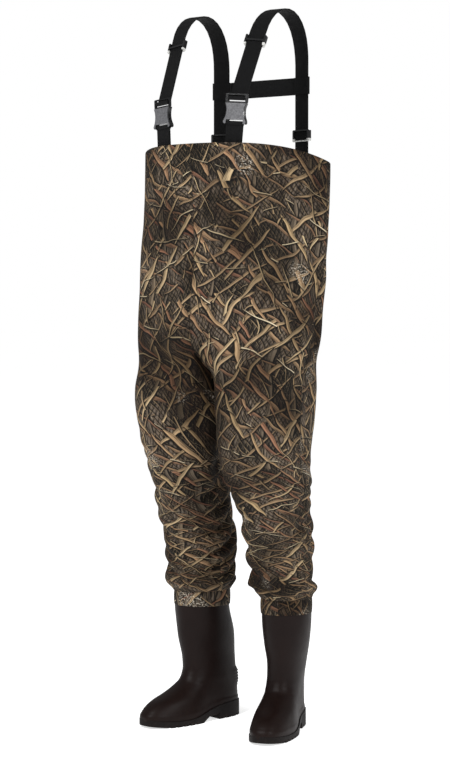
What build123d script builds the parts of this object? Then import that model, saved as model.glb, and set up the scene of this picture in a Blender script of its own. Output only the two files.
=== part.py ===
# Bootfoot chest waders: a fabric bib-and-legs shell on rubber boots, held up by an H-back
# webbing harness with side-release buckles and three-bar slides.
# Frame: +Z up from the floor, front of the wearer towards -Y, wearer's left towards +X.
import os
from math import cos, radians, sin, sqrt

from build123d import *

os.makedirs("parts", exist_ok=True)

# ---------------------------------------------------------------- driving dimensions (mm)
fabric = 3.0                # wall of the bib and leg fabric
seam_gap = 0.2              # clearance between layers that are sewn or glued together

bib_top_front = 1350        # height of the bib's top edge at the centre front
bib_top_back = 1302         # height of the bib's top edge at the centre back
hip_height = 986            # widest part of the seat
crotch_height = 820         # underside of the crotch
knee_height = 539           # middle of the knee

chest_half_width = 230      # bib, side to side
chest_front = 213           # bib, from its widest line forward
chest_back = 108            # bib, from its widest line backward
chest_middle = 66           # place of that widest line, behind the frame's centre
hip_half_width = 237
hip_front = 204
hip_back = 109
hip_middle = 33
leg_spread = 112            # centre of each thigh from the middle plane
hem_height = 30             # facing turned in and sewn along the bib's top edge
hem_thickness = 1.4
gusset_half_width = 44
gusset_height = 70

boot_top = 312              # top of the rubber shaft
cuff_height = 38            # fabric band bonded round the top of the shaft
cuff_thickness = 2.0
boot_wall = 4.0
boot_spread = 107           # ankle centre from the middle plane
boot_set_back = 90          # ankle centre behind the frame's centre
splay = 16                  # degrees that each toe turns outward
shaft_half_width = 57
shaft_half_depth = 70.5
toe_reach = 200             # ankle centre to toe tip
heel_reach = 79             # ankle centre to back of heel
ball_half_width = 52
heel_half_width = 38
heel_height = 34            # outsole thickness under the heel
forefoot_height = 16        # outsole thickness under the ball of the foot
welt = 3.0                  # outsole edge standing out from the upper
tread_depth = 5.0
insole_thickness = 5.0
footbed_wall = 3.0          # rubber between outsole and insole
kick_lug_height = 108       # ribbed ledge on the heel for pushing the boot off

webbing_width = 40
webbing_thickness = 2.2
webbing_gap = 0.4           # running clearance of webbing in any slot
tab_clearance = 2.2         # harness ends to the facing they are sewn under
strap_front = 92            # webbing centre from the middle plane where it leaves the bib
strap_turn_front = 12       # degrees the front webbing faces outward
strap_turn_back = -12       # degrees the back webbing faces outward
strap_back = 112
shoulder_top = 1664         # top of the shoulder curve
buckle_height = 1391        # bottom edge of the buckle
slide_height = 1583         # middle of the front slide
back_slide_height = 1383
cross_height = 1499         # middle of the cross strap
sleeve_length = 40
sleeve_wall = 2.2

buckle_width = 53
buckle_thickness = 13.0
buckle_socket_height = 46   # socket half of the buckle, bar to mouth
bar_height = 4.0            # bars that webbing turns round
bar_thickness = 4.0
slot_height = 5.2
ladder_gap = 0.3            # socket mouth to ladder frame when closed
prong_thickness = 5.2
prong_gap = 1.0             # prong to socket wall
slide_width = 51
slide_length = 28
slide_rim = 3.2             # bars and side rails of a three-bar slide

# ---------------------------------------------------------------- bib and legs
trunk_sections = [
    # height, middle y, half width, forward depth, backward depth
    (bib_top_front + 30, chest_middle + 1, chest_half_width, chest_front, chest_back),
    (bib_top_front - 150, chest_middle - 2, chest_half_width + 3, chest_front, chest_back),
    (hip_height + 93, chest_middle - 10, hip_half_width, chest_front - 2, chest_back - 2),
    (hip_height, hip_middle, hip_half_width, hip_front, hip_back),
    (hip_height - 75, hip_middle - 16, hip_half_width, hip_front - 9, hip_back + 9),
    (crotch_height + 40, hip_middle - 30, hip_half_width - 15, hip_front - 39, hip_back + 9),
    (crotch_height, hip_middle - 43, hip_half_width - 87, 70, 62),
]
cuff_centre = (118, 76)     # centre of the boot's top edge, wearer's left
cuff_room = cuff_thickness + seam_gap + 1
leg_bottom = boot_top + seam_gap
leg_sections = [
    # height, x, y, half width, half depth, turn
    (hip_height - 56, leg_spread, -7, 100, 115, 0),
    (crotch_height + 26, leg_spread, -12, leg_spread + 4, 137, 0),
    (crotch_height - 53, leg_spread, -15, leg_spread - 2, 137, 0),
    (knee_height + 111, leg_spread - 2, -5, 97, 120, 0),
    (knee_height, leg_spread - 1, 26, 82, 102, splay / 4),
    (knee_height - 112, leg_spread - 3, 58, 76, 93, splay / 2),
    (boot_top + 59, leg_spread + 1, 65, 71, 86, splay * 3 / 4),
    (boot_top + 19, cuff_centre[0] - 2, 71, 67, 80, splay),
    (leg_bottom, *cuff_centre, shaft_half_width + cuff_room, shaft_half_depth + cuff_room, splay),
]


def section_at(rows, height):
    """Values of a section table at one height, in proportion between its two nearest rows."""
    for upper, lower in zip(rows, rows[1:]):
        if lower[0] <= height <= upper[0]:
            share = (height - lower[0]) / (upper[0] - lower[0])
            return [low + share * (high - low) for high, low in zip(upper[1:], lower[1:])]


def even_heights(rows, count):
    """Evenly spaced heights from the first row of a section table to its last."""
    top, bottom = rows[0][0], rows[-1][0]
    inner = [top + (bottom - top) * step / (count - 1) for step in range(1, count - 1)]
    return [top, *inner, bottom]


def trunk(inset):
    """Closed body of the bib and seat, drawn in by inset."""
    with BuildPart() as body:
        for height in even_heights(trunk_sections, 10):
            middle, wide, forward, backward = section_at(trunk_sections, height)
            lift = inset if height == crotch_height else 0
            with BuildSketch(Plane.XY.offset(height + lift)):
                with BuildLine():
                    EllipticalCenterArc((0, middle), wide - inset, forward - inset, 180, arc_size=180)
                    EllipticalCenterArc((0, middle), wide - inset, backward - inset, 0, arc_size=180)
                make_face()
        loft()
    return body.part


def leg(inset):
    """Closed body of the wearer's left leg, drawn in by inset and open ended when cut."""
    with BuildPart() as body:
        for height in even_heights(leg_sections, 10):
            x, y, wide, deep, turn = section_at(leg_sections, height)
            drop = inset if height == leg_bottom else 0
            with BuildSketch(Plane.XY.offset(height - drop)):
                with Locations((x, y)):
                    Ellipse(wide - inset, deep - inset, rotation=turn)
        loft()
    return body.part


def trousers(inset):
    """Bib, seat and both legs as one closed body."""
    left_leg = leg(inset)
    with BuildPart() as body:
        add(trunk(inset))
        add(left_leg)
        add(mirror(left_leg, about=Plane.YZ))
    return body.part


depth_at_top = chest_front + chest_back
top_slope = (bib_top_front - bib_top_back) / depth_at_top
top_plane = Plane(
    origin=(0, chest_middle - chest_front, bib_top_front),
    x_dir=(1, 0, 0),
    z_dir=(0, top_slope, 1),
)
side_height = hip_height - 106
side_y = hip_middle - 45
upper_seam = Plane(
    origin=(0, side_y, side_height),
    x_dir=(1, 0, 0),
    z_dir=(0, bib_top_front - side_height, side_y - chest_middle),
)
lower_seam = Plane(
    origin=(0, side_y, side_height),
    x_dir=(1, 0, 0),
    z_dir=(0, side_height - boot_top, cuff_centre[1] - side_y),
)

trouser_skin = trousers(0)
trouser_room = trousers(fabric)
with BuildPart() as shell:
    add(trouser_skin)
    add(trouser_room, mode=Mode.SUBTRACT)
    split(bisect_by=top_plane, keep=Keep.BOTTOM)

with BuildPart() as crotch_gusset:
    add(shell.part)
    with Locations((0, 0, crotch_height + gusset_height / 2 - 16)):
        Box(2 * gusset_half_width, 4 * chest_front, gusset_height, mode=Mode.INTERSECT)
crotch_gusset.part.label = "crotch_gusset"
export_step(crotch_gusset.part, "parts/crotch_gusset.step")

with BuildPart() as panels:
    add(shell.part)
    add(crotch_gusset.part, mode=Mode.SUBTRACT)
    split(bisect_by=Plane.YZ, keep=Keep.TOP)


def seam_tool(front):
    """Everything in front of (or behind) the side seam, above and below the hip."""
    reach = 4 * bib_top_front
    side = Keep.BOTTOM if front else Keep.TOP
    with BuildPart() as upper:
        Box(reach, reach, reach, align=(Align.CENTER, Align.CENTER, Align.CENTER))
        split(bisect_by=upper_seam, keep=side)
        split(bisect_by=Plane.XY.offset(side_height), keep=Keep.TOP)
    with BuildPart() as lower:
        Box(reach, reach, reach, align=(Align.CENTER, Align.CENTER, Align.CENTER))
        split(bisect_by=lower_seam, keep=side)
        split(bisect_by=Plane.XY.offset(side_height), keep=Keep.BOTTOM)
    with BuildPart() as tool:
        add(upper.part)
        add(lower.part)
    return tool.part


for place, front in (("front", True), ("back", False)):
    with BuildPart() as left_panel:
        add(panels.part)
        add(seam_tool(front), mode=Mode.INTERSECT)
    left_panel.part.label = f"{place}_panel_left"
    export_step(left_panel.part, f"parts/{place}_panel_left.step")
    right_panel = mirror(left_panel.part, about=Plane.YZ)
    right_panel.label = f"{place}_panel_right"
    export_step(right_panel, f"parts/{place}_panel_right.step")

# The facing is turned to the inside of the top edge and sewn all round.
with BuildPart() as top_hem:
    add(trunk(fabric + seam_gap))
    add(trunk(fabric + seam_gap + hem_thickness), mode=Mode.SUBTRACT)
    split(bisect_by=top_plane, keep=Keep.BOTTOM)
    split(bisect_by=top_plane.offset(-hem_height), keep=Keep.TOP)
top_hem.part.label = "top_hem"
export_step(top_hem.part, "parts/top_hem.step")

# The cuff is a fabric band bonded round the outside of the boot's top.
with BuildPart() as cuff_band_left:
    for growth, mode in ((seam_gap + cuff_thickness, Mode.ADD), (seam_gap, Mode.SUBTRACT)):
        overrun = 0 if mode == Mode.ADD else 1
        with BuildSketch(Plane.XY.offset(boot_top - cuff_height - overrun)):
            with Locations(cuff_centre):
                Ellipse(shaft_half_width + growth, shaft_half_depth + growth, rotation=splay)
        extrude(amount=cuff_height + 2 * overrun, mode=mode)
cuff_band_left.part.label = "cuff_band_left"
export_step(cuff_band_left.part, "parts/cuff_band_left.step")
cuff_band_right = mirror(cuff_band_left.part, about=Plane.YZ)
cuff_band_right.label = "cuff_band_right"
export_step(cuff_band_right, "parts/cuff_band_right.step")

# ---------------------------------------------------------------- boots
# Boots are drawn for the wearer's left foot about the ankle, toe towards -Y, then turned
# outward by the splay and mirrored for the right foot.
ankle_plane = Plane(
    origin=(boot_spread, boot_set_back, 0),
    x_dir=(cos(radians(splay)), sin(radians(splay)), 0),
    z_dir=(0, 0, 1),
)


def in_boot(x, y):
    """A floor position in the boot's own axes."""
    local = ankle_plane.to_local_coords(Vector(x, y, 0))
    return local.X, local.Y


shaft_x, shaft_y = in_boot(*cuff_centre)
boot_sections = [
    # height, x, y, half width at heel, half width at ball, forward, backward, squareness
    (boot_top, shaft_x, shaft_y, shaft_half_width, shaft_half_width, shaft_half_depth,
     shaft_half_depth, 2.0),
    (boot_top - cuff_height, shaft_x, shaft_y, shaft_half_width, shaft_half_width,
     shaft_half_depth, shaft_half_depth, 2.0),
    (203, 6, -6, 51, 51, 77, 77, 2.0),
    (150, 3, 0, 43, 43, 74, 75, 2.0),
    (118, 1, 0, 40, 42, 76, 76, 2.1),
    (100, 0, 0, 39, 43, 84, 77, 2.2),
    (85, 0, 0, heel_half_width, 44, 104, 78, 2.3),
    (70, 0, 0, heel_half_width, 46, 136, 78, 2.4),
    (58, 0, 0, heel_half_width, 48, 168, heel_reach, 2.5),
    (44, 0, 0, heel_half_width, 50, toe_reach - 10, heel_reach, 2.6),
    (30, 0, 0, heel_half_width, ball_half_width, toe_reach, heel_reach, 2.7),
    (10, 0, 0, heel_half_width, ball_half_width, toe_reach + 1, heel_reach, 2.7),
]


def foot_outline(heel_half, ball_half, forward, backward, squareness, inset):
    """Closed foot-shaped curve, narrow at the heel and wide at the ball."""
    points = []
    count = 24
    for step in range(count):
        angle = radians(360 * step / count)
        power = 2 / squareness
        along = abs(cos(angle)) ** power
        across = abs(sin(angle)) ** power
        ahead = cos(angle) > 0
        y = -along * (forward - inset) if ahead else along * (backward - inset)
        share = min(max(-y / (toe_reach / 2), 0), 1)
        share = share * share * (3 - 2 * share)
        half = heel_half + (ball_half - heel_half) * share - inset
        points.append((half * across * (1 if sin(angle) > 0 else -1), y))
    Spline(*points, periodic=True)


def boot_body(inset, drop):
    """Closed body of the boot, drawn in by inset, its top lifted and its foot sections dropped."""
    with BuildPart(ankle_plane) as body:
        for height, x, y, heel_half, ball_half, forward, backward, square in boot_sections:
            shift = drop if height == boot_top else 0
            if height < boot_sections[3][0]:
                shift = -drop
            plane = ankle_plane.offset(height + shift)
            with BuildSketch(plane):
                with BuildLine(Location((x, y))) as outline:
                    foot_outline(heel_half, ball_half, forward, backward, square, inset)
                make_face()
        loft(ruled=True)
    return body.part


# Side view of the outsole's upper face, from the toe spring over the arch to the raised heel.
sole_line = [
    (-toe_reach - 20, forefoot_height + 9),
    (-toe_reach + 40, forefoot_height),
    (-toe_reach * 0.36, forefoot_height + 1),
    (-toe_reach * 0.16, (forefoot_height + heel_height) / 2 + 2),
    (6, heel_height),
    (heel_reach + 20, heel_height),
]


def under_sole_line(rise):
    """Everything in the boot lower than the outsole's upper face, lifted by rise."""
    side = Plane(origin=ankle_plane.origin, x_dir=ankle_plane.y_dir, z_dir=ankle_plane.x_dir)
    with BuildPart() as body:
        with BuildSketch(side):
            with BuildLine():
                line = Spline(*[(y, z + rise) for y, z in sole_line])
                Polyline(line @ 1, (heel_reach + 20, -20), (-toe_reach - 20, -20), line @ 0)
            make_face()
        extrude(amount=2 * ball_half_width, both=True)
    return body.part


side_view = Plane(origin=ankle_plane.origin, x_dir=ankle_plane.y_dir, z_dir=ankle_plane.x_dir)
boot_skin = boot_body(0, 0)
boot_room = boot_body(boot_wall, boot_wall)
below_upper = under_sole_line(0)
below_footbed = under_sole_line(footbed_wall)
below_insole = under_sole_line(footbed_wall + insole_thickness)

with BuildPart() as boot_cavity:
    add(boot_room)
    add(below_footbed, mode=Mode.SUBTRACT)

with BuildPart() as boot_upper_left:
    add(boot_skin)
    # Three ribs make the ledge that a boot jack or the other toe pushes on.
    for rib in range(3):
        rib_plane = ankle_plane.offset(kick_lug_height - 9 * rib)
        with BuildSketch(rib_plane):
            with Locations((0, heel_reach - 10)):
                Ellipse(heel_half_width * 0.62, 15)
        extrude(amount=4.5)
    add(below_upper, mode=Mode.SUBTRACT)
    add(boot_cavity.part, mode=Mode.SUBTRACT)

with BuildPart() as insole_left:
    add(boot_body(boot_wall + seam_gap, boot_wall))
    add(below_footbed, mode=Mode.SUBTRACT)
    add(below_insole, mode=Mode.INTERSECT)

arch_start, arch_end = -toe_reach * 0.3, -2
arch_height = 15
with BuildPart() as outsole_left:
    with BuildSketch(ankle_plane):
        with BuildLine():
            foot_outline(heel_half_width, ball_half_width, toe_reach, heel_reach, 2.7, -welt)
        make_face()
    extrude(amount=heel_height + 30)
    add(below_upper, mode=Mode.INTERSECT)
    # The arch is lifted clear of the floor between the ball of the foot and the heel block.
    with BuildSketch(side_view):
        with BuildLine():
            Polyline((arch_start, -1), (arch_start * 0.55, arch_height), (arch_end, arch_height),
                     (arch_end, -1), close=True)
        make_face()
    extrude(amount=2 * ball_half_width, both=True, mode=Mode.SUBTRACT)
    # Toe spring
    with BuildSketch(side_view):
        with BuildLine():
            Polyline((-toe_reach * 0.72, -0.5), (-toe_reach - 20, 9), (-toe_reach - 20, -0.5),
                     close=True)
        make_face()
    extrude(amount=2 * ball_half_width, both=True, mode=Mode.SUBTRACT)
    # Tread grooves across the ball and the heel
    groove_places = [-toe_reach * share for share in (0.42, 0.51, 0.6, 0.69, 0.78)]
    groove_places += [heel_reach * share for share in (0.22, 0.47, 0.72)]
    with BuildSketch(side_view):
        for place in groove_places:
            with Locations((place, 0)):
                Rectangle(5, 2 * tread_depth)
    extrude(amount=2 * ball_half_width, both=True, mode=Mode.SUBTRACT)
    # Pocket for the steel shank
    shank_length, shank_width, shank_thickness = 62, 18, 1.6
    shank_middle = (arch_start + 4) / 2
    with BuildSketch(side_view):
        with Locations((shank_middle, arch_height + 4.2)):
            Rectangle(shank_length / 2 + seam_gap, shank_thickness + seam_gap)
    extrude(amount=shank_width / 2 + seam_gap / 2, both=True, mode=Mode.SUBTRACT)

with BuildPart() as shank_left:
    with BuildSketch(side_view):
        with Locations((shank_middle, arch_height + 4.2)):
            Rectangle(shank_length / 2 - seam_gap, shank_thickness - seam_gap)
    extrude(amount=shank_width / 2 - seam_gap, both=True)

for boot_part, name in (
    (boot_upper_left, "boot_upper"),
    (insole_left, "insole"),
    (outsole_left, "outsole"),
    (shank_left, "shank"),
):
    boot_part.part.label = f"{name}_left"
    export_step(boot_part.part, f"parts/{name}_left.step")
    right_part = mirror(boot_part.part, about=Plane.YZ)
    right_part.label = f"{name}_right"
    export_step(right_part, f"parts/{name}_right.step")

# ---------------------------------------------------------------- harness
# The harness is drawn for the wearer's left side and mirrored for the right.
hem_layers = fabric + hem_thickness + 2 * seam_gap
half_webbing = webbing_width / 2
slot_width = webbing_width + 2 * webbing_gap
loop_gap = webbing_gap / 2


def inside_bib(x, depth):
    """Distance from the bib's widest line to the inner face of the hem, at x to one side."""
    return (depth - hem_layers) * sqrt(1 - (x / (chest_half_width - hem_layers)) ** 2)


def webbing_plane(origin, turn, along):
    """Plane of a run of webbing: x across it, y along it, z out of its outer face."""
    along = Vector(along).normalized()
    across = Vector(cos(radians(turn)), sin(radians(turn)), 0)
    across = (across - along * across.dot(along)).normalized()
    return Plane(origin=origin, x_dir=across, z_dir=across.cross(along))


front_corner = strap_front + half_webbing * cos(radians(strap_turn_front))
tab_y = chest_middle - inside_bib(front_corner, chest_front)
tab_y += webbing_thickness + tab_clearance - half_webbing * sin(radians(strap_turn_front))
tab_foot = Vector(strap_front, tab_y, bib_top_front - hem_height)
tab_head = Vector(strap_front + 5, tab_y + 3, buckle_height)
buckle_plane = webbing_plane(tab_head, strap_turn_front, tab_head - tab_foot)
across, along, outward = buckle_plane.x_dir, buckle_plane.y_dir, buckle_plane.z_dir


def bar_loop(place, bar_size):
    """Profile plane and sizes of webbing turned round a bar at a height along the buckle."""
    centre = tab_head + along * place
    plane = Plane(origin=centre, x_dir=along, z_dir=across)
    return plane, bar_size + 2 * loop_gap, bar_thickness + 2 * loop_gap


# Socket half of the buckle
socket_half = buckle_width / 2
waist_half = 22.2
pocket_half = 19.5
pocket_floor = bar_height + slot_height + 4
window_low, window_high = pocket_floor + 2, pocket_floor + 15.5
window_middle = (window_low + window_high) / 2
mouth_half = socket_half - 0.8
with BuildPart() as buckle_socket_left:
    with BuildSketch(buckle_plane.offset(-buckle_thickness / 2)):
        with BuildLine():
            ThreePointArc((-socket_half, 9), (-waist_half, window_middle),
                          (-mouth_half, buckle_socket_height))
            Line((-mouth_half, buckle_socket_height), (mouth_half, buckle_socket_height))
            ThreePointArc((mouth_half, buckle_socket_height), (waist_half, window_middle),
                          (socket_half, 9))
            Polyline((socket_half, 9), (socket_half, 2), (socket_half - 2, 0),
                     (2 - socket_half, 0), (-socket_half, 2), (-socket_half, 9))
        make_face()
    extrude(amount=buckle_thickness)
    rim = buckle_socket_left.edges().filter_by(Axis((0, 0, 0), outward), reverse=True)
    rim = rim.filter_by(Axis((0, 0, 0), along), reverse=True)
    chamfer(rim.filter_by(GeomType.CIRCLE), length=1.6)
    # Pocket for the prongs, open at the mouth
    with BuildSketch(Plane(origin=tab_head + along * pocket_floor, x_dir=across, z_dir=along)):
        Rectangle(2 * pocket_half, prong_thickness + 2 * prong_gap)
    extrude(amount=buckle_socket_height, mode=Mode.SUBTRACT)
    # Side windows where the prongs are pinched
    with BuildSketch(buckle_plane):
        with Locations((0, window_middle)):
            Rectangle(2 * buckle_width, window_high - window_low)
    extrude(amount=prong_thickness / 2 + prong_gap, both=True, mode=Mode.SUBTRACT)
    # Slot above the fixed bar, and the bar thinned so that the tab lies flush
    with BuildSketch(buckle_plane):
        with Locations((0, bar_height + slot_height / 2)):
            Rectangle(slot_width, slot_height)
    extrude(amount=buckle_thickness, both=True, mode=Mode.SUBTRACT)
    for face_side in (1, -1):
        with BuildSketch(buckle_plane.offset(face_side * bar_thickness / 2)):
            with Locations((0, 0)):
                Rectangle(slot_width, 2 * bar_height + 0.2)
        extrude(amount=face_side * buckle_thickness, mode=Mode.SUBTRACT)

# Plug half: ladder frame with the centre blade
ladder_low = buckle_socket_height + ladder_gap
ladder_bar = 3.5
ladder_height = bar_height + 2 * slot_height + 2 * ladder_bar
ladder_middle = ladder_low + bar_height + slot_height + ladder_bar / 2
with BuildPart() as buckle_ladder_left:
    with BuildSketch(buckle_plane.offset(-bar_thickness / 2)):
        with Locations((0, ladder_low + ladder_height / 2)):
            RectangleRounded(buckle_width, ladder_height, 3)
        with Locations((0, ladder_low + bar_height + slot_height / 2)):
            Rectangle(slot_width, slot_height, mode=Mode.SUBTRACT)
        with Locations((0, ladder_low + bar_height + slot_height * 1.5 + ladder_bar)):
            Rectangle(slot_width, slot_height, mode=Mode.SUBTRACT)
    extrude(amount=bar_thickness)
    blade_low = pocket_floor + 9
    with BuildSketch(buckle_plane.offset(-prong_thickness / 4)):
        with Locations((0, (blade_low + ladder_low + 1) / 2)):
            Rectangle(7, ladder_low + 1 - blade_low)
    extrude(amount=prong_thickness / 2)

# Prongs bend inward at their roots when pinched
prong_pivot = (13.5, buckle_socket_height - 2.5)
prong_root = 2.4
arm_inner, arm_outer = 11.3, 15.7
catch_top = window_high - 1


def prong(hand):
    """One prong of the plug half, on the outer (1) or inner (-1) side of the buckle."""
    with BuildPart() as piece:
        with BuildSketch(buckle_plane.offset(-prong_thickness / 2)):
            with BuildLine():
                Polyline(
                    (hand * arm_inner, prong_pivot[1]),
                    (hand * arm_inner, pocket_floor + 7),
                    (hand * 13, pocket_floor + 1.5),
                    (hand * 16.5, pocket_floor + 1.5),
                    (hand * (pocket_half - 0.5), window_low + 1.6),
                    (hand * (waist_half + 0.5), window_low + 5),
                    (hand * (waist_half + 1), window_middle + 2),
                    (hand * (waist_half + 0.2), catch_top),
                    (hand * 17.5, catch_top),
                    (hand * arm_outer, catch_top + 2.3),
                    (hand * arm_outer, prong_pivot[1]),
                    close=True,
                )
            make_face()
            with Locations((hand * prong_pivot[0], prong_pivot[1])):
                Circle(prong_root)
        extrude(amount=prong_thickness)
    return piece.part


# Tab: webbing sewn inside the bib and turned round the socket's fixed bar
with BuildPart() as strap_tab_left:
    plane, hole_along, hole_thick = bar_loop(bar_height / 2, bar_height)
    with BuildSketch(plane):
        Rectangle(hole_along + 2 * webbing_thickness, hole_thick + 2 * webbing_thickness)
        Rectangle(hole_along, hole_thick, mode=Mode.SUBTRACT)
    extrude(amount=half_webbing, both=True)
    tab_length = (tab_head - tab_foot).length
    with BuildSketch(buckle_plane.offset(-webbing_thickness)):
        with Locations((0, -loop_gap - webbing_thickness / 2 - tab_length / 2)):
            Rectangle(webbing_width, tab_length)
    extrude(amount=2 * webbing_thickness)

# Shoulder strap: turned round the ladder's middle bar, up through the front slide, over the
# shoulder and down the back into the bib
strap_start = tab_head + along * ladder_middle
strap_start -= outward * (bar_thickness / 2 + loop_gap + webbing_thickness)
slide_point = Vector(107, -42, slide_height)
front_run = (slide_point - strap_start).normalized()
front_end = slide_point + front_run * (slide_length / 2 + 8)
back_corner = strap_back + half_webbing * cos(radians(strap_turn_back))
strap_back_y = chest_middle + inside_bib(back_corner, chest_back)
strap_back_y += half_webbing * sin(radians(-strap_turn_back)) - webbing_thickness
back_start = Vector(strap_back, strap_back_y, cross_height + 48)
back_end = Vector(strap_back, strap_back_y, bib_top_back - hem_height)
downward = Vector(0, 0, -1)
crown = Bezier(
    front_end,
    front_end + front_run * (shoulder_top - slide_height) * 1.17,
    back_start - downward * (shoulder_top - back_start.Z) * 1.28,
    back_start,
)
crown_steps = 14
stations = [(strap_start, front_run, 0), (front_end, front_run, 0)]
for step in range(1, crown_steps):
    share = step / crown_steps
    stations.append((crown @ share, crown % share, share))
stations += [(back_start, downward, 1), (back_end, downward, 1)]
with BuildPart() as shoulder_strap_left:
    for point, direction, share in stations:
        turn = strap_turn_front + (strap_turn_back - strap_turn_front) * share
        section = webbing_plane(point, turn, direction)
        with BuildSketch(Plane(origin=point, x_dir=section.x_dir, z_dir=direction)):
            Rectangle(webbing_width, webbing_thickness)
    loft(ruled=True)
    plane, hole_along, hole_thick = bar_loop(ladder_middle, ladder_bar)
    with BuildSketch(plane):
        Rectangle(hole_along + 2 * webbing_thickness, hole_thick + 2 * webbing_thickness)
        Rectangle(hole_along, hole_thick, mode=Mode.SUBTRACT)
    extrude(amount=half_webbing, both=True)


def three_bar_slide(plane):
    """Slide that the webbing threads, its middle bar on the outer face."""
    clear = webbing_thickness / 2 + webbing_gap
    rail = (slide_width - slot_width) / 2
    with BuildPart() as slide:
        with BuildSketch(plane.offset(-clear - slide_rim)):
            RectangleRounded(slide_width, slide_length, slide_rim)
            Rectangle(slot_width, slide_length - 2 * slide_rim, mode=Mode.SUBTRACT)
        extrude(amount=slide_rim)
        with BuildSketch(plane.offset(-clear - slide_rim)):
            with Locations(((slot_width + rail) / 2, 0), (-(slot_width + rail) / 2, 0)):
                RectangleRounded(rail, slide_length - slide_rim, rail / 4)
        extrude(amount=2 * clear + 2 * slide_rim)
        with BuildSketch(plane.offset(clear)):
            Rectangle(slot_width + rail, slide_rim * 1.4)
        extrude(amount=slide_rim)
    return slide.part


front_slide_plane = webbing_plane(slide_point, strap_turn_front, front_run)
back_slide_point = Vector(strap_back, strap_back_y, back_slide_height)
back_slide_plane = webbing_plane(back_slide_point, strap_turn_back, downward)

# Cross strap: a sewn sleeve round each back strap, joined by a flat band
sleeve_plane = Plane(
    origin=(strap_back, strap_back_y, cross_height - sleeve_length / 2),
    x_dir=back_slide_plane.x_dir,
    z_dir=(0, 0, 1),
)
sleeve_outer = slot_width + 2 * sleeve_wall
with BuildPart() as cross_sleeve_left:
    with BuildSketch(sleeve_plane):
        RectangleRounded(sleeve_outer, webbing_thickness + 2 * webbing_gap + 2 * sleeve_wall, 2)
        Rectangle(slot_width, webbing_thickness + 2 * webbing_gap, mode=Mode.SUBTRACT)
    extrude(amount=sleeve_length)

band_end = strap_back - sleeve_outer / 2 * cos(radians(strap_turn_back)) - 1.2
band_y = strap_back_y - sleeve_outer / 2 * sin(radians(strap_turn_back))
with BuildPart() as cross_strap:
    with BuildSketch(Plane.XY.offset(cross_height - webbing_width / 2)):
        with Locations((0, band_y)):
            Rectangle(2 * band_end, webbing_thickness)
    extrude(amount=webbing_width)
cross_strap.part.label = "cross_strap"
export_step(cross_strap.part, "parts/cross_strap.step")

for piece, name in (
    (buckle_socket_left.part, "buckle_socket"),
    (buckle_ladder_left.part, "buckle_ladder"),
    (prong(1), "buckle_prong_outer"),
    (prong(-1), "buckle_prong_inner"),
    (strap_tab_left.part, "strap_tab"),
    (shoulder_strap_left.part, "shoulder_strap"),
    (three_bar_slide(front_slide_plane), "front_slide"),
    (three_bar_slide(back_slide_plane), "back_slide"),
    (cross_sleeve_left.part, "cross_sleeve"),
):
    piece.label = f"{name}_left"
    export_step(piece, f"parts/{name}_left.step")
    right_piece = mirror(piece, about=Plane.YZ)
    right_piece.label = f"{name}_right"
    export_step(right_piece, f"parts/{name}_right.step")
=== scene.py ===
import math

import bpy
import numpy as np
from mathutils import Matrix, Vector, noise


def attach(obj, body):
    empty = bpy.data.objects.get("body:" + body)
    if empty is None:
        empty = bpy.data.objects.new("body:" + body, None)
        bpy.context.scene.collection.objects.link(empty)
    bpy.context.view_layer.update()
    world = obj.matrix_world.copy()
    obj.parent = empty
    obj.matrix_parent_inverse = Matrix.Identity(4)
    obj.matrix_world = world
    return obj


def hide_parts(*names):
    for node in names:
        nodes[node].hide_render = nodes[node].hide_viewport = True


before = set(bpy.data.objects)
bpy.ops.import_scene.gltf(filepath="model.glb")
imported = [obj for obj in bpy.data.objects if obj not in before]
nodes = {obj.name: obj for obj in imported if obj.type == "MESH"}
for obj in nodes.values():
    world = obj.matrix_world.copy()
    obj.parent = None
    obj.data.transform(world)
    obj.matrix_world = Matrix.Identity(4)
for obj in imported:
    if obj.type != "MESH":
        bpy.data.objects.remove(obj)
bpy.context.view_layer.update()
mm = 0.001
print("frame loaded")


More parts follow.
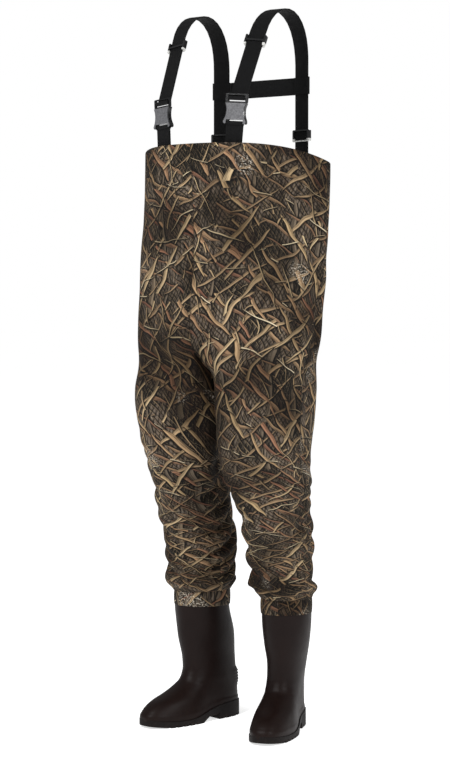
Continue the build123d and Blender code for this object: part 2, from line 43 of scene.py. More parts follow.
# shader helpers
class Signal:
    def __init__(self, tree, socket=None):
        self.tree = tree
        self.socket = socket

    def node(self, kind, settings, sockets, outlet=0):
        made = self.tree.nodes.new(kind)
        for name, value in settings.items():
            setattr(made, name, value)
        for name, value in sockets.items():
            if isinstance(value, Signal):
                self.tree.links.new(value.socket, made.inputs[name])
            else:
                made.inputs[name].default_value = value
        return Signal(self.tree, made.outputs[outlet])

    def maths(self, operation, *values):
        return self.node("ShaderNodeMath", {"operation": operation}, dict(enumerate(values)))

    def __add__(self, other):
        return self.maths("ADD", self, other)

    __radd__ = __add__

    def __sub__(self, other):
        return self.maths("SUBTRACT", self, other)

    def __rsub__(self, other):
        return self.maths("SUBTRACT", other, self)

    def __mul__(self, other):
        return self.maths("MULTIPLY", self, other)

    __rmul__ = __mul__

    def __truediv__(self, other):
        return self.maths("DIVIDE", self, other)

    def __rtruediv__(self, other):
        return self.maths("DIVIDE", other, self)

    def __pow__(self, other):
        return self.maths("POWER", self, other)

    def __abs__(self):
        return self.maths("ABSOLUTE", self)

    def floor(self):
        return self.maths("FLOOR", self)

    def sine(self):
        return self.maths("SINE", self)

    def least(self, other):
        return self.maths("MINIMUM", self, other)

    def most(self, other):
        return self.maths("MAXIMUM", self, other)

    def above(self, other):
        return self.maths("GREATER_THAN", self, other)

    def ramp(self, low, high):
        sockets = {"Value": self, "From Min": low, "From Max": high}
        return self.node("ShaderNodeMapRange", {"interpolation_type": "SMOOTHSTEP"}, sockets)

    def parts(self):
        split = self.tree.nodes.new("ShaderNodeSeparateXYZ")
        self.tree.links.new(self.socket, split.inputs[0])
        return [Signal(self.tree, out) for out in split.outputs]

    def shades(self):
        split = self.tree.nodes.new("ShaderNodeSeparateColor")
        self.tree.links.new(self.socket, split.inputs[0])
        return [Signal(self.tree, out) for out in split.outputs]

    def joined(self, second, third=0.0):
        return self.node("ShaderNodeCombineXYZ", {}, {0: self, 1: second, 2: third})

    def turned(self, angle):
        settings = {"rotation_type": "Z_AXIS"}
        return self.node("ShaderNodeVectorRotate", settings, {"Vector": self, "Angle": angle})

    def scaled(self, size):
        sockets = {"Vector": self, "Scale": size}
        return self.node("ShaderNodeMapping", {}, sockets)

    def noise(self, scale, detail=2.0, rough=0.5):
        sockets = {"Vector": self, "Scale": scale, "Detail": detail, "Roughness": rough}
        return self.node("ShaderNodeTexNoise", {}, sockets)

    def mixed(self, first, second, blend="MIX"):
        settings = {"data_type": "RGBA", "blend_type": blend}
        return self.node("ShaderNodeMix", settings, {0: self, 6: first, 7: second}, 2)

    def palette(self, stops):
        made = self.tree.nodes.new("ShaderNodeValToRGB")
        while len(made.color_ramp.elements) < len(stops):
            made.color_ramp.elements.new(0.5)
        for element, (place, colour) in zip(made.color_ramp.elements, stops):
            element.position = place
            element.color = colour
        self.tree.links.new(self.socket, made.inputs[0])
        return Signal(self.tree, made.outputs[0])


def tone(code):
    shades = [int(code[i:i + 2], 16) / 255 for i in (0, 2, 4)]
    linear = [c / 12.92 if c < 0.04 else ((c + 0.055) / 1.055) ** 2.4 for c in shades]
    return (*linear, 1.0)


def newMaterial(name, colour, rough, bump=None, bumpDepth=0.001, **constants):
    material = bpy.data.materials.new(name)
    material.use_nodes = True
    tree = material.node_tree
    shader = tree.nodes["Principled BSDF"]
    start = Signal(tree)
    picture = colour(start)
    for socket, value in (("Base Color", picture), ("Roughness", rough(start))):
        tree.links.new(value.socket, shader.inputs[socket])
    if bump:
        sockets = {"Height": bump(start), "Strength": 1.0, "Distance": bumpDepth}
        relief = start.node("ShaderNodeBump", {}, sockets)
        tree.links.new(relief.socket, shader.inputs["Normal"])
    for socket, value in constants.items():
        shader.inputs[socket.replace("_", " ")].default_value = value
    return material


def objectPlace(start):
    return start.node("ShaderNodeTexCoord", {}, {}, "Object")


def mapPlace(start, name):
    return start.node("ShaderNodeUVMap", {"uv_map": name}, {}, 0)


def attribute(start, name):
    return start.node("ShaderNodeAttribute", {"attribute_name": name}, {}, "Fac")


# marsh print: layers of reeds, stalks and leaves over bark
blades = [
    # turn, spacing, length, half width, bend, share, dark tones, light tones
    (0.35, 0.0085, 0.042, 0.0010, 0.003, 0.85, ("14110d", "2e241a"), ("836e4e", "a1895f")),
    (-0.75, 0.0095, 0.050, 0.0011, 0.004, 0.75, ("17130f", "37251a"), ("977c54", "6a553c")),
    (0.04, 0.066, 0.300, 0.0100, 0.014, 0.42, ("1f1914", "2c241d"), ("665847", "79664d")),
    (-1.15, 0.040, 0.120, 0.0052, 0.016, 0.66, ("21180f", "351e14"), ("98784f", "73472e")),
    (0.95, 0.044, 0.140, 0.0050, 0.018, 0.60, ("231a11", "281e15"), ("b59566", "816442")),
    (2.35, 0.046, 0.115, 0.0068, 0.018, 0.50, ("301b11", "271c12"), ("95603c", "b39460")),
    (0.62, 0.050, 0.170, 0.0060, 0.022, 0.42, ("2a1d12", "362a1c"), ("c7aa78", "9b7f55")),
    (-0.45, 0.060, 0.170, 0.0024, 0.026, 0.36, ("2e2115", "3b281c"), ("d1b580", "a38458")),
    (1.85, 0.070, 0.180, 0.0018, 0.026, 0.34, ("241b12", "352417"), ("c9b081", "eddab2")),
    (1.20, 0.080, 0.160, 0.0015, 0.030, 0.36, ("2b2015", "402a1a"), ("efdcac", "c2a375")),
]


def bladeLayer(place, seed, turn, spacing, length, width, bend):
    across, along, _ = place.turned(turn).parts()
    lane = (across / spacing).floor()
    shift = lane.node("ShaderNodeTexWhiteNoise", {"noise_dimensions": "2D"},
                      {"Vector": lane.joined(seed)}, "Value")
    along = along / length + shift * 7.3
    cell = along.floor()
    chance = cell.node("ShaderNodeTexWhiteNoise", {"noise_dimensions": "3D"},
                       {"Vector": lane.joined(cell, seed)}, "Color")
    first, second, third = chance.shades()
    run = along - cell
    middle = run - 0.5
    offset = (first - 0.5) * (spacing * 0.3) + (second - 0.5) * bend * 4 * middle * middle
    offset = offset + (third - 0.5) * (spacing * 0.55) * middle
    side = across - (lane + 0.5) * spacing - offset
    half = (second * 0.6 + 0.4) * width * (run * (1 - run) * 4) ** 0.55
    cover = ((half - abs(side)) / 0.0006).least(1.0).most(0.0)
    shadow = ((half * 1.2 + 0.0034 - abs(side - 0.0022)) / 0.0038).least(1.0).most(0.0)
    slope = side / (half + 0.0002)
    return cover, shadow, slope, first, third, along


def warped(flat, scale, amount):
    drift = flat.node("ShaderNodeTexNoise", {}, {"Vector": flat, "Scale": scale}, "Color")
    red, green, _ = drift.shades()
    across, along, _ = flat.parts()
    return (across + red * amount).joined(along + green * amount)


def marshColour(start):
    flat = mapPlace(start, "cloth")
    sway = flat.noise(5.0, 1.0)
    ways = [warped(flat, 6.0, 0.07), warped(flat, 9.5, 0.05)]
    bark = ways[0].scaled((85.0, 10.0, 1.0)).noise(1.0, 4.0, 0.65)
    patch = flat.noise(9.0, 3.0)
    ground = bark.palette([(0.32, tone("1d1813")), (0.44, tone("483c32")),
                           (0.56, tone("6d5e4f")), (0.70, tone("8a7964"))])
    gloom = patch.ramp(0.50, 0.60) * 0.8
    picture = gloom.mixed(ground, tone("12130f"))
    rust = sway.ramp(0.54, 0.62) * 0.45
    picture = rust.mixed(picture, tone("3d2018"))
    for seed, row in enumerate(blades):
        turn, spacing, length, width, bend, share, dark, light = row
        found = bladeLayer(ways[seed % 2], seed + 1.0, turn, spacing, length, width, bend)
        cover, shadow, slope, first, third, along = found
        clump = flat.noise(5.0 + 1.3 * seed, 1.0)
        shown = (share * 1.1 - first * 0.55 - clump * 1.9 + 0.74).above(0.0)
        picture = (shadow * shown * 0.85).mixed(picture, tone("0c0b09"))
        streak = (along * 3.0).joined(slope * 2.5, seed).noise(2.0, 3.0)
        rib = (abs(slope + 0.1) * -6.0 + 1.0).most(0.0) * 0.35
        shade = (slope * 0.45 + streak * 1.9 - 0.25 - rib).least(1.0).most(0.0)
        deep = third.mixed(tone(dark[0]), tone(dark[1]))
        lit = third.mixed(tone(light[0]), tone(light[1]))
        picture = (cover * shown).mixed(picture, shade.mixed(deep, lit))
    picture = sway.ramp(0.36, 0.66).mixed(picture, tone("8f8674"), "MULTIPLY")
    tuft = flat.noise(6.5, 1.0).ramp(0.66, 0.72)
    fluff = ways[1].noise(260.0, 2.0).ramp(0.52, 0.64) * tuft
    picture = (fluff * 0.75).mixed(picture, tone("b9ae9c"))
    fleck = flat.noise(420.0, 2.0).ramp(0.62, 0.74) * 0.3
    picture = fleck.mixed(picture, tone("85765a"))
    worn = attribute(start, "seamNear").ramp(0.004, 0.0) * 0.45
    picture = worn.mixed(picture, tone("1d1a16"))
    sockets = {"Saturation": 0.84, "Value": 0.90, "Color": picture}
    return start.node("ShaderNodeHueSaturation", {}, sockets)


def clothRelief(start):
    flat = mapPlace(start, "cloth")
    across, along, _ = flat.parts()
    weave = (across * 6283).sine() * (along * 6283).sine() * 0.12
    nap = flat.noise(90.0, 3.0) * 0.5
    near = attribute(start, "seamNear")
    welt = near.ramp(0.006, 0.003) * 1.4
    stitch = (abs(near - 0.0045) * -1 + 0.0008).above(0.0) * (along * 1800).sine().above(-0.2)
    return weave + nap + welt - stitch * 0.9


def clothRough(start):
    return mapPlace(start, "cloth").noise(30.0) * 0.12 + 0.74


def liningColour(start):
    return mapPlace(start, "cloth").noise(40.0, 3.0).mixed(tone("2b2722"), tone("3a352e"))


marsh = newMaterial("marshPrint", marshColour, clothRough, clothRelief, 0.0008,
                    Specular_IOR_Level=0.12)
lining = newMaterial("clothLining", liningColour, clothRough, clothRelief, 0.0006,
                     Specular_IOR_Level=0.12)


# webbing, rubber and plastics read the frame's own metres
def webColour(start):
    x, y, z = objectPlace(start).parts()
    rib = ((z + y * 0.5) * 2600 + (x * 2100).sine() * 1.3).sine() * 0.5 + 0.5
    cord = (x * 3300).sine() * 0.5 + 0.5
    dust = objectPlace(start).noise(60.0, 3.0) * 0.5
    weave = rib * 0.45 + cord * 0.3 + dust * 0.5
    return weave.mixed(tone("030303"), tone("141415"))


def webRelief(start):
    x, y, z = objectPlace(start).parts()
    rib = ((z + y * 0.5) * 2600 + (x * 2100).sine() * 1.3).sine()
    return rib * 0.5 + (x * 3300).sine() * 0.5


def webRough(start):
    return objectPlace(start).noise(300.0, 2.0) * 0.2 + 0.5


def rubberColour(start):
    place = objectPlace(start)
    cloud = place.noise(14.0, 4.0).mixed(tone("0d0605"), tone("170d0b"))
    _, _, z = place.parts()
    dust = (place.noise(70.0, 4.0) * 1.2 - z * 4.0).least(1.0).most(0.0) * 0.25
    return dust.mixed(cloud, tone("281c17"))


def rubberRelief(start):
    place = objectPlace(start)
    return place.noise(900.0, 2.0) * 0.25 + place.noise(45.0, 3.0) * 0.7


def rubberRough(start):
    return objectPlace(start).noise(35.0, 4.0) * 0.2 + 0.36


def soleColour(start):
    place = objectPlace(start)
    _, _, z = place.parts()
    scuff = (place.noise(120.0, 5.0) - z * 9.0).ramp(0.35, 0.75) * 0.35
    return scuff.mixed(tone("0f0a09"), tone("332a25"))


def soleRough(start):
    return objectPlace(start).noise(60.0, 3.0) * 0.25 + 0.5


def plasticColour(start):
    place = objectPlace(start)
    return place.noise(120.0, 3.0).mixed(tone("030304"), tone("0b0b0d"))


def outFace(start, lean):
    # share of a surface that faces the wearer's front
    normal = start.node("ShaderNodeNewGeometry", {}, {}, "Normal")
    facing = start.node("ShaderNodeVectorMath", {"operation": "DOT_PRODUCT"},
                        {0: normal, 1: lean}, "Value")
    return facing.ramp(0.80, 0.93)


def buckleColour(start):
    place = objectPlace(start)
    # painted reflection: faces turned to the wearer's front are painted light grey for the light the
    # glossy face reflects, while the sides stay black
    paintedSheen = place.noise(300.0, 4.0).mixed(tone("2c2c2e"), tone("6f6f72"))
    return (outFace(start, (0.0, -1.0, 0.0)) * 0.9).mixed(plasticColour(start), paintedSheen)


def paintedHighlightBar(start):
    # painted highlight: the lower bar of each slide is painted light grey for the bright reflection it
    # catches
    x, y, z = objectPlace(start).parts()
    front = ((y + 0.042) * 0.4217 + (z - 1.583) * 0.9055) * -1
    front = front.above(0.0070) * (y * -1 + 0.06).above(0.0)
    back = (1.3765 - z).above(0.0) * y.above(0.05)
    return front.most(back)


def slideColour(start):
    # painted highlight on the lower bar of each slide
    return paintedHighlightBar(start).mixed(plasticColour(start), tone("b4b4b1"))


def plasticRelief(start):
    return objectPlace(start).noise(1400.0, 2.0) * 0.2 + objectPlace(start).noise(160.0) * 0.6


def plasticRough(start):
    return objectPlace(start).noise(220.0, 3.0) * 0.16 + 0.14


def feltColour(start):
    return objectPlace(start).noise(500.0, 4.0).mixed(tone("4c463d"), tone("7a7062"))


def feltRough(start):
    return objectPlace(start).noise(400.0) * 0.1 + 0.85


def steelColour(start):
    return objectPlace(start).noise(200.0, 4.0).mixed(tone("6d6f72"), tone("9a9da0"))


webbing = newMaterial("blackWebbing", webColour, webRough, webRelief, 0.0005,
                      Specular_IOR_Level=0.10)
rubber = newMaterial("brownRubber", rubberColour, rubberRough, rubberRelief, 0.0006,
                     Specular_IOR_Level=0.10)
soleRubber = newMaterial("soleRubber", soleColour, soleRough, rubberRelief, 0.0008,
                         Specular_IOR_Level=0.12)
plastic = newMaterial("gloss", plasticColour, plasticRough, plasticRelief, 0.0003,
                      Specular_IOR_Level=0.4)
buckleGloss = newMaterial("buckleGloss", buckleColour, plasticRough, plasticRelief, 0.0003,
                          Specular_IOR_Level=0.5)
slideGloss = newMaterial("slideGloss", slideColour, plasticRough, plasticRelief, 0.0003,
                         Specular_IOR_Level=0.5)
felt = newMaterial("feltInsole", feltColour, feltRough, plasticRelief, 0.001)
steel = newMaterial("shankSteel", steelColour, plasticRough, plasticRelief, 0.0003, Metallic=1.0)

finishes = {
    "strap": webbing, "shoulder_strap": webbing, "cross_strap": webbing, "cross_sleeve": webbing,
    "strap_tab": webbing, "buckle": plastic, "buckle_socket": buckleGloss,
    "front_slide": slideGloss, "back_slide": slideGloss,
    "outsole": soleRubber, "insole": felt, "shank": steel, "boot_upper": rubber,
}
for name, node in nodes.items():
    for key, material in finishes.items():
        if name.startswith(key):
            node.data.materials.clear()
            node.data.materials.append(material)
print("materials made")


# mesh helpers
def newPiece(name, points, faces, material=None):
    mesh = bpy.data.meshes.new(name)
    mesh.from_pydata([tuple(p) for p in points], [], faces)
    mesh.update()
    piece = bpy.data.objects.new(name, mesh)
    bpy.context.scene.collection.objects.link(piece)
    if material:
        mesh.materials.append(material)
    return piece


def choose(piece):
    bpy.ops.object.select_all(action="DESELECT")
    piece.select_set(True)
    bpy.context.view_layer.objects.active = piece


def applied(piece, kind, **settings):
    modifier = piece.modifiers.new(kind.title(), kind)
    for name, value in settings.items():
        setattr(modifier, name, value)
    choose(piece)
    bpy.ops.object.modifier_apply(modifier=modifier.name)


def smoothed(piece):
    choose(piece)
    bpy.ops.object.shade_smooth()


def rows(table, heights):
    table = np.array(sorted(table), float)
    spot = table[:, 0]
    columns = []
    for column in table.T[1:]:
        slope = np.gradient(column, spot)
        at = np.clip(np.searchsorted(spot, heights) - 1, 0, len(spot) - 2)
        gap = spot[at + 1] - spot[at]
        t = np.clip((heights - spot[at]) / gap, 0, 1)
        a, b = column[at], column[at + 1]
        m, n = slope[at] * gap, slope[at + 1] * gap
        columns.append((2 * t**3 - 3 * t**2 + 1) * a + (t**3 - 2 * t**2 + t) * m
                       + (3 * t**2 - 2 * t**3) * b + (t**3 - t**2) * n)
    return np.array(columns)


def ease(value, low, high):
    t = np.clip((value - low) / (high - low), 0, 1)
    return t * t * (3 - 2 * t)


# trousers: one sheet of cloth from the bib to the ankles, cut into panels at the seams
trousers = {
    "trunk": [(1380, 67, 230, 213, 108), (1200, 64, 233, 213, 108), (1079, 56, 237, 211, 106),
              (986, 33, 237, 204, 109), (911, 17, 237, 195, 118), (860, 3, 224, 168, 120),
              (800, -10, 210, 150, 120)],
    "leg": [(930, 112, -7, 100, 115, 0), (846, 112, -12, 116, 137, 0), (767, 112, -15, 110, 137, 0),
            (650, 110, -5, 97, 120, 0), (539, 111, 26, 82, 102, 4), (427, 109, 58, 76, 93, 8),
            (371, 113, 65, 71, 86, 12), (331, 116, 71, 67, 80, 16), (312, 118, 76, 60, 73.5, 16)],
    "split": 890, "crotch": 812, "bottom": 311, "columns": 72, "inner": 18,
    "trunkRows": 50, "legRows": 90, "growth": 0.22, "cap": 0.024,
}


def topEdge(y):
    return 1350 - 48 * ease(y, -147, 174)


def halfTrunk(height, angles):
    mid, half, ahead, behind = rows(trousers["trunk"], np.array([height]))[:, 0]
    reach = np.where(np.cos(angles) > 0, ahead, behind)
    return half * np.sin(angles), mid - reach * np.cos(angles)


def legRing(height, angles):
    x, y, half, depth, turn = rows(trousers["leg"], np.array([height]))[:, 0]
    turn = math.radians(turn)
    side, back = half * np.sin(angles), -depth * np.cos(angles)
    return x + side * math.cos(turn) - back * math.sin(turn), \
        y + side * math.sin(turn) + back * math.cos(turn)


def buildTrousers():
    t = trousers
    columns, inner = t["columns"], t["inner"]
    points, faces, panels, maps = [], [], [], []
    halfAngles = np.linspace(0, math.pi, columns + 1)
    spread = math.radians(68)
    outer = np.linspace(-spread, math.pi + spread, columns + 1)
    inside = np.linspace(math.pi + spread, 2 * math.pi - spread, inner + 1)
    ringAngles = np.concatenate([outer, inside[1:-1]])
    for hand in (1, -1):
        grid = []
        for step in range(t["trunkRows"] + 1):
            share = step / t["trunkRows"]
            xs, ys = halfTrunk(1340, halfAngles)
            high = topEdge(ys)
            heights = high + (t["split"] - high) * share
            row = []
            for j, angle in enumerate(halfAngles):
                x, y = halfTrunk(heights[j], halfAngles[j:j + 1])
                row.append((x[0], y[0], heights[j]))
            grid.append(row)
        legs = []
        for step in range(1, t["legRows"] + 1):
            share = step / t["legRows"]
            height = t["split"] + (t["bottom"] - t["split"]) * share
            legX, legY = legRing(height, ringAngles)
            blend = ease(t["split"] - height, -10, 95)
            x, y = halfTrunk(max(height, 812), halfAngles)
            legX[:columns + 1] = x * (1 - blend) + legX[:columns + 1] * blend
            legY[:columns + 1] = y * (1 - blend) + legY[:columns + 1] * blend
            if height < 862:
                gap = 2 + 8 * ease(-height, -600, -500)
                legX = gap + np.logaddexp(0, (legX - gap) / 6) * 6 - 6 * math.log(2) \
                    * np.exp(-np.abs(legX) / 20)
                legX = np.maximum(legX, gap)
            legs.append([(a, b, height) for a, b in zip(legX, legY)])
        index = {}

        def vertex(key, place):
            if key not in index:
                index[key] = len(points)
                points.append(Vector((place[0] * hand, place[1], place[2])) * mm)
            return index[key]

        body = [[vertex(("b", i, j), grid[i][j]) for j in range(columns + 1)]
                for i in range(t["trunkRows"] + 1)]
        # the crotch seam sags from the front of the fork to the back
        front, back = grid[-1][0], grid[-1][-1]
        fork = [body[-1][-1]]
        for k in range(1, inner):
            share = k / inner
            sag = math.sin(math.pi * share) ** 0.6
            y = back[1] + (front[1] - back[1]) * (share - 0.13 * math.sin(2 * math.pi * share))
            z = t["split"] - (t["split"] - t["crotch"]) * sag
            fork.append(vertex(("f", k), (0.0, y, z)))
        rings = [body[-1] + fork[1:]]
        for i, leg in enumerate(legs):
            rings.append([vertex(("l", i, j), leg[j]) for j in range(len(leg))])

        sideColumn = columns // 2

        def strip(upper, lower, wrap):
            count = len(lower) if wrap else len(lower) - 1
            for j in range(count):
                k = (j + 1) % len(lower)
                quad = [upper[j], upper[k], lower[k], lower[j]]
                if hand > 0:
                    quad.reverse()
                faces.append(quad)
                front = j < sideColumn or j >= columns + inner // 2
                panels.append((0 if front else 2) + (0 if hand > 0 else 1))
                ends = [(j, upper), (j + 1, upper), (j + 1, lower), (j, lower)]
                corners = [flatPlace(ring, c, front) for c, ring in ends]
                if hand > 0:
                    corners.reverse()
                maps.append(corners)

        lengths = {}

        def flatPlace(ring, column, front):
            key = id(ring)
            if key not in lengths:
                loop = np.array([points[v] for v in ring + ring[:1]])
                pace = np.concatenate([[0], np.cumsum(np.linalg.norm(np.diff(loop, axis=0), axis=1))])
                lengths[key] = pace
            pace = lengths[key]
            total = pace[-1]
            where = pace[column] - pace[sideColumn]
            if front and where > total / 2:
                where -= total
            spot = points[ring[column % len(ring)]]
            # the legs are longer than the space they stand in, so the print is bunched there
            slack = max(0.66 - spot.z, 0) * 0.75 + max(0.50 - spot.z, 0) * 0.4
            height = spot.z - slack + 0.25 * (spot.y - 0.05)
            drift = (0.0 if front else 0.83) + (0.37 if hand < 0 else 0.0)
            return (where * hand + drift, height + (0.0 if front else 0.21) + (0.11 if hand < 0 else 0))

        for i in range(t["trunkRows"]):
            strip(body[i], body[i + 1], False)
        for i in range(len(rings) - 1):
            strip(rings[i], rings[i + 1], True)
    return points, faces, panels, maps


def foldDepth(spot):
    # soft folds before the cloth is let go, in metres outwards
    x, y, z = spot
    hand = 1 if x > 0 else -1
    low = float(ease(-z, -0.78, -0.52))
    cuff = float(ease(z, 0.314, 0.334))
    around = math.atan2(y - 0.05, x - hand * 0.112)
    drift = noise.noise(Vector((x * 6, y * 6, z * 5 + 3 * hand)))
    broad = noise.noise(Vector((x * 9 + 2, y * 9, z * 11 - 4 * hand)))
    fine = noise.noise(Vector((x * 21 + 5, y * 21, z * 27)))
    tilt = 0.045 if hand < 0 else 0.075
    slant = (z + tilt * math.sin(around * hand + 0.8) + 0.04 * drift + 0.012 * broad) / 0.047
    rolls = abs(math.sin(slant * math.pi)) ** 0.6 - 0.55
    # folds that run out from the side of the knee
    reach = math.hypot(y + 0.06 * hand, z - 0.56) + 0.02
    spokes = math.atan2(z - 0.56, y - 0.11) + 0.8 * drift
    fan = (abs(math.sin(spokes * 5.5)) ** 0.6 - 0.55) * min(reach / 0.06, 1)
    knee = math.exp(-((z - 0.55) / 0.10) ** 2)
    drape = math.sin(around * 5 + 7 * drift + 2 * z) * 0.5
    depth = low * cuff * (0.0165 * rolls * (0.75 + broad) * (1 - 0.7 * knee)
                          + 0.014 * fan * knee + 0.006 * fine)
    depth += 0.007 * math.exp(-((z - 0.338 - 0.004 * hand) / 0.016) ** 2)
    held = float(ease(topEdge(y * 1000) * mm - z, 0.03, 0.10))
    depth += (1 - low) * held * (0.006 * drape * float(ease(-z, -1.33, -1.1)) + 0.005 * drift)
    if y < 0 and z > 0.80:
        depth -= 0.010 * math.exp(-(x / 0.018) ** 2) * float(ease(-z, -1.03, -0.92))
    return depth


points, faces, panels, maps = buildTrousers()
shell = newPiece("trouserShell", points, faces)
flatMap = shell.data.uv_layers.new(name="cloth")
loop = 0
for corners in maps:
    for corner in corners:
        flatMap.data[loop].uv = corner
        loop += 1
for key in ("panelFrontLeft", "panelFrontRight", "panelBackLeft", "panelBackRight"):
    shell.data.materials.append(bpy.data.materials.new(key))
shell.data.polygons.foreach_set("material_index", panels)
choose(shell)
bpy.ops.object.mode_set(mode="EDIT")
bpy.ops.mesh.select_all(action="SELECT")
bpy.ops.mesh.remove_doubles(threshold=0.0004)
bpy.ops.mesh.normals_make_consistent(inside=False)
bpy.ops.object.mode_set(mode="OBJECT")
normals = [v.normal.copy() for v in shell.data.vertices]
for v, normal in zip(shell.data.vertices, normals):
    normal.z = normal.z * 0.3
    v.co += normal.normalized() * foldDepth(v.co)
print("trouser sheet built", len(shell.data.vertices))


def letGo(piece, settings):
    start = np.array([v.co for v in piece.data.vertices])
    pin = piece.vertex_groups.new(name="pin")
    grow = piece.vertex_groups.new(name="grow")
    for v in piece.data.vertices:
        z = v.co.z
        edge = topEdge(v.co.y * 1000) * mm
        hold = max(float(ease(z, edge - 0.03, edge - 0.006)), float(ease(-z, -0.322, -0.314)))
        pin.add([v.index], hold, "REPLACE")
        grow.add([v.index], float(ease(-z, -1.1, -0.5)) * 0.85 + 0.15, "REPLACE")
    cloth = piece.modifiers.new("Cloth", "CLOTH")
    make = cloth.settings
    make.quality = 5
    make.mass = 0.2
    make.tension_stiffness = 18
    make.compression_stiffness = 18
    make.shear_stiffness = 8
    make.bending_stiffness = 1.2
    make.vertex_group_mass = "pin"
    make.vertex_group_shrink = "grow"
    make.shrink_min = 0.0
    make.shrink_max = -settings["growth"]
    make.use_pressure = True
    make.uniform_pressure_force = 1.2
    make.effector_weights.gravity = 0.25
    cloth.collision_settings.use_collision = False
    scene = bpy.context.scene
    for step in range(1, 23):
        scene.frame_set(step)
    choose(piece)
    bpy.ops.object.modifier_apply(modifier=cloth.name)
    scene.frame_set(1)
    for v, home in zip(piece.data.vertices, start):
        move = v.co - Vector(home)
        size = move.length
        if size > 1e-6:
            cap = settings["cap"]
            v.co = Vector(home) + move / size * cap * math.tanh(size / cap)


letGo(shell, trousers)
print("cloth settled")

# no point of one leg crosses the middle plane below the fork
for v in shell.data.vertices:
    if v.co.z < 0.80 and abs(v.co.x) < 0.0015:
        v.co.x = 0.0015 if v.co.x >= 0 else -0.0015

nearSeam = shell.data.attributes.new("seamNear", "FLOAT", "POINT")
tight = [1.0] * len(shell.data.vertices)
for polygon in shell.data.polygons:
    for loop in polygon.loop_indices:
        corner = shell.data.loops[loop].vertex_index
        across = shell.data.uv_layers["cloth"].data[loop].uv[0]
        drift = (0.83 if polygon.material_index > 1 else 0.0) + \
            (0.37 if polygon.material_index % 2 else 0.0)
        tight[corner] = min(tight[corner], abs(across - drift))
for v in shell.data.vertices:
    if v.co.z > 0.80:
        tight[v.index] = min(tight[v.index], abs(v.co.x))
nearSeam.data.foreach_set("value", tight)
applied(shell, "SUBSURF", levels=1, render_levels=1)
choose(shell)
bpy.ops.object.mode_set(mode="EDIT")
bpy.ops.mesh.select_all(action="SELECT")
bpy.ops.mesh.separate(type="MATERIAL")
bpy.ops.object.mode_set(mode="OBJECT")
panelNodes = {"panelFrontLeft": "front_panel_left", "panelFrontRight": "front_panel_right",
              "panelBackLeft": "back_panel_left", "panelBackRight": "back_panel_right"}
for piece in [o for o in bpy.context.selected_objects if o.type == "MESH"]:
    key = piece.data.materials[0].name
    piece.name = key
    piece.data.materials.clear()
    piece.data.materials.append(marsh)
    piece.data.materials.append(lining)
    applied(piece, "SOLIDIFY", thickness=0.0026, offset=-1.0, material_offset=1,
            material_offset_rim=0, use_quality_normals=True)
    smoothed(piece)
    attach(piece, "waders")
    if key == "panelFrontLeft":
        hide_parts(panelNodes[key], "crotch_gusset")
    else:
        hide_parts(panelNodes[key])
print("panels cut")


# facing sewn inside the bib's top edge
def ringPiece(name, heights, outline, thickness, material, node, mapShift=0.0):
    count = 144
    points, faces, uvs = [], [], []
    for row, height in enumerate(heights):
        for step in range(count):
            points.append(outline(2 * math.pi * step / count, height))
    for row in range(len(heights) - 1):
        for step in range(count):
            after = (step + 1) % count
            a, b = row * count, (row + 1) * count
            faces.append((a + step, a + after, b + after, b + step))
    piece = newPiece(name, points, faces, material)
    uv = piece.data.uv_layers.new(name="cloth")
    girth = sum((Vector(points[i]) - Vector(points[i - 1])).length for i in range(count))
    for polygon in piece.data.polygons:
        step = polygon.index % count
        for loop, column in zip(polygon.loop_indices, (step, step + 1, step + 1, step)):
            spot = points[piece.data.loops[loop].vertex_index]
            uv.data[loop].uv = (girth * column / count + mapShift, spot[2] + 0.4)
    far = piece.data.attributes.new("seamNear", "FLOAT", "POINT")
    far.data.foreach_set("value", [0.05] * len(points))
    choose(piece)
    bpy.ops.object.mode_set(mode="EDIT")
    bpy.ops.mesh.select_all(action="SELECT")
    bpy.ops.mesh.normals_make_consistent(inside=False)
    bpy.ops.object.mode_set(mode="OBJECT")
    applied(piece, "SOLIDIFY", thickness=thickness, offset=-1.0)
    smoothed(piece)
    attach(piece, "waders")
    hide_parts(node)
    return piece


def hemOutline(angle, drop):
    inset = 4.6
    half = 230 - inset
    reach = 213 - inset if math.cos(angle) > 0 else 108 - inset
    y = 67 - reach * math.cos(angle)
    return (half * math.sin(angle) * mm, y * mm, (float(topEdge(y)) - 1.0 - drop) * mm)


ringPiece("hemFacing", [0, 6, 12, 18, 24, 30], hemOutline, 0.0012, lining,
          "top_hem")

# cuffs bonded over the boot tops
for hand, side in ((1, "left"), (-1, "right")):
    def cuffOutline(angle, height, hand=hand):
        bulge = 1.2 * math.sin(math.pi * min(max((height - 273) / 40, 0), 1))
        turn = math.radians(16)
        across, back = (58.4 + bulge) * math.sin(angle), -(71.9 + bulge) * math.cos(angle)
        x = 118 + across * math.cos(turn) - back * math.sin(turn)
        y = 76 + across * math.sin(turn) + back * math.cos(turn)
        z = height + (2.0 * math.sin(angle + 1.2) if height < 300 else 0)
        return (x * hand * mm, y * mm, z * mm)

    ringPiece(f"cuff_{side}", [275, 276, 280, 286, 292, 298, 304, 310, 313], cuffOutline, 0.0018,
              marsh, f"cuff_band_{side}", 1.7 * hand)
print("cuffs and hem made")

# boots
boot = {
    "origin": (107, 90), "splay": 16, "columns": 96, "wall": 0.0038,
    "sections": [(312, 10.6, 0, 57, 57, 70.5, 70.5, 2.0), (300, 10.6, 0, 57, 57, 70.5, 70.5, 2.0),
                 (274, 10.6, 0, 57, 57, 70.5, 70.5, 2.0), (203, 6, -6, 51, 51, 77, 77, 2.0),
                 (150, 3, 0, 43, 43, 74, 75, 2.0), (118, 1, 0, 40, 42, 76, 76, 2.1),
                 (100, 0, 0, 39, 43, 84, 77, 2.2), (85, 0, 0, 38, 44, 104, 78, 2.3),
                 (70, 0, 0, 38, 46, 136, 78, 2.4), (58, 0, 0, 38, 48, 168, 79, 2.5),
                 (44, 0, 0, 38, 50, 190, 79, 2.6), (30, 0, 0, 38, 52, 200, 79, 2.7),
                 (10, 0, 0, 38, 52, 201, 79, 2.7)],
}
turn = math.radians(boot["splay"])
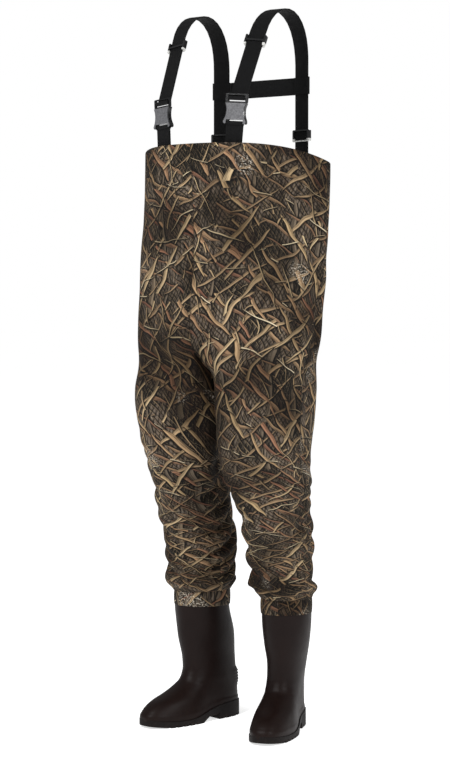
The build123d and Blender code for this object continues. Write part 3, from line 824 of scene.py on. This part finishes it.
aheadX = (118 - 107) * math.cos(turn) + (76 - 90) * math.sin(turn)
aheadY = -(118 - 107) * math.sin(turn) + (76 - 90) * math.cos(turn)
boot["sections"][:3] = [(z, aheadX, aheadY, *row) for z, _, _, *row in boot["sections"][:3]]


def soleLine(y):
    return np.interp(y, [-220, -160, -72, -32, 6, 99], [25, 16, 17, 27, 34, 34])


def bootSurface(hand):
    heights = np.concatenate([np.linspace(312, 120, 34), np.linspace(116, 12, 44)])
    table = rows(boot["sections"], heights)
    points, faces = [], []
    count = boot["columns"]
    for row, height in enumerate(heights):
        x0, y0, heel, ball, ahead, behind, square = table[:, row]
        for step in range(count):
            angle = 2 * math.pi * step / count
            power = 2 / square
            along = abs(math.cos(angle)) ** power
            across = abs(math.sin(angle)) ** power
            y = -along * ahead if math.cos(angle) > 0 else along * behind
            share = min(max(-y / 100, 0), 1)
            half = heel + (ball - heel) * share * share * (3 - 2 * share)
            x = half * across * (1 if math.sin(angle) > 0 else -1)
            # foxing band above the welt, ribbed kick lug at the heel, crease over the instep
            out = 1.3 * float(ease(soleLine(y) + 14 - height, 0, 2.0))
            heelShare = float(ease(y, 40, 72))
            lug = float(ease(height, 60, 88)) * float(ease(-height, -118, -108))
            out += heelShare * lug * (4.2 + 1.6 * math.sin(height * 0.9))
            front = float(ease(-y, 20, 70))
            out -= front * 0.9 * math.exp(-((height - 100 + 0.25 * abs(x)) / 4) ** 2)
            out -= front * 0.6 * math.exp(-((height - 118 - 0.2 * abs(x)) / 6) ** 2)
            out += 0.8 * math.sin(height * 0.045 + 2 * math.sin(angle)) * float(ease(height, 120, 180))
            size = math.hypot(x, y) or 1
            x += x0 + out * x / size
            y += y0 + out * y / size
            wx = 107 + x * math.cos(turn) - y * math.sin(turn)
            wy = 90 + x * math.sin(turn) + y * math.cos(turn)
            points.append((wx * hand * mm, wy * mm, height * mm))
    for row in range(len(heights) - 1):
        for step in range(count):
            after = (step + 1) % count
            a, b = row * count, (row + 1) * count
            faces.append((a + step, b + step, b + after, a + after))
    faces.append([(len(heights) - 1) * count + step for step in range(count)])
    return points, faces


for hand, side in ((1, "left"), (-1, "right")):
    points, faces = bootSurface(hand)
    piece = newPiece(f"boot_{side}", points, faces, rubber)
    choose(piece)
    bpy.ops.object.mode_set(mode="EDIT")
    bpy.ops.mesh.select_all(action="SELECT")
    bpy.ops.mesh.normals_make_consistent(inside=False)
    bpy.ops.object.mode_set(mode="OBJECT")
    applied(piece, "SOLIDIFY", thickness=boot["wall"], offset=-1.0)
    smoothed(piece)
    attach(piece, "waders")
    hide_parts(f"boot_upper_{side}")
print("boots made")

# floor, light and camera
floor = newPiece("floor", [(-40, -40, 0), (40, -40, 0), (40, 40, 0), (-40, 40, 0)], [(0, 1, 2, 3)])
floorPaint = newMaterial(
    "paleFloor", lambda s: objectPlace(s).noise(0.5).mixed(tone("f7f7f7"), tone("fbfbfb")),
    lambda s: objectPlace(s).noise(2.0) * 0.05 + 0.9, Specular_IOR_Level=0.0)
floorPaint.node_tree.nodes["Principled BSDF"].inputs["Emission Color"].default_value = (1, 1, 1, 1)
floorPaint.node_tree.nodes["Principled BSDF"].inputs["Emission Strength"].default_value = 0.64
floor.data.materials.append(floorPaint)

world = bpy.data.worlds.new("studio")
bpy.context.scene.world = world
world.use_nodes = True
world.node_tree.nodes["Background"].inputs[0].default_value = (1.0, 1.0, 1.0, 1.0)
# the backdrop shows white, while the light it gives stays soft
backdrop = Signal(world.node_tree)
seen = backdrop.node("ShaderNodeLightPath", {}, {}, "Is Camera Ray")
strength = seen * 0.62 + 0.38
world.node_tree.links.new(strength.socket, world.node_tree.nodes["Background"].inputs[1])


def softLight(name, place, size, power):
    lamp = bpy.data.lights.new(name, "AREA")
    lamp.shape = "DISK"
    lamp.size = size
    lamp.energy = power
    holder = bpy.data.objects.new(name, lamp)
    holder.location = place
    aim = Vector((0, 0, 0.8)) - Vector(place)
    holder.rotation_euler = aim.to_track_quat("-Z", "Y").to_euler()
    bpy.context.scene.collection.objects.link(holder)


softLight("key", (-0.2, -3.6, 3.2), 1.3, 150)
softLight("fill", (3.6, -0.9, 2.0), 1.2, 75)

lens = bpy.data.cameras.new("viewCamera")
lens.lens = 89.2
lens.sensor_width = 36
camera = bpy.data.objects.new("viewCamera", lens)
camera.location = (2.396, -3.652, 1.0)
camera.rotation_euler = (math.radians(90 - 2.46), 0, math.radians(33.3))
bpy.context.scene.collection.objects.link(camera)
bpy.context.scene.camera = camera
bpy.context.scene.view_settings.view_transform = "Standard"
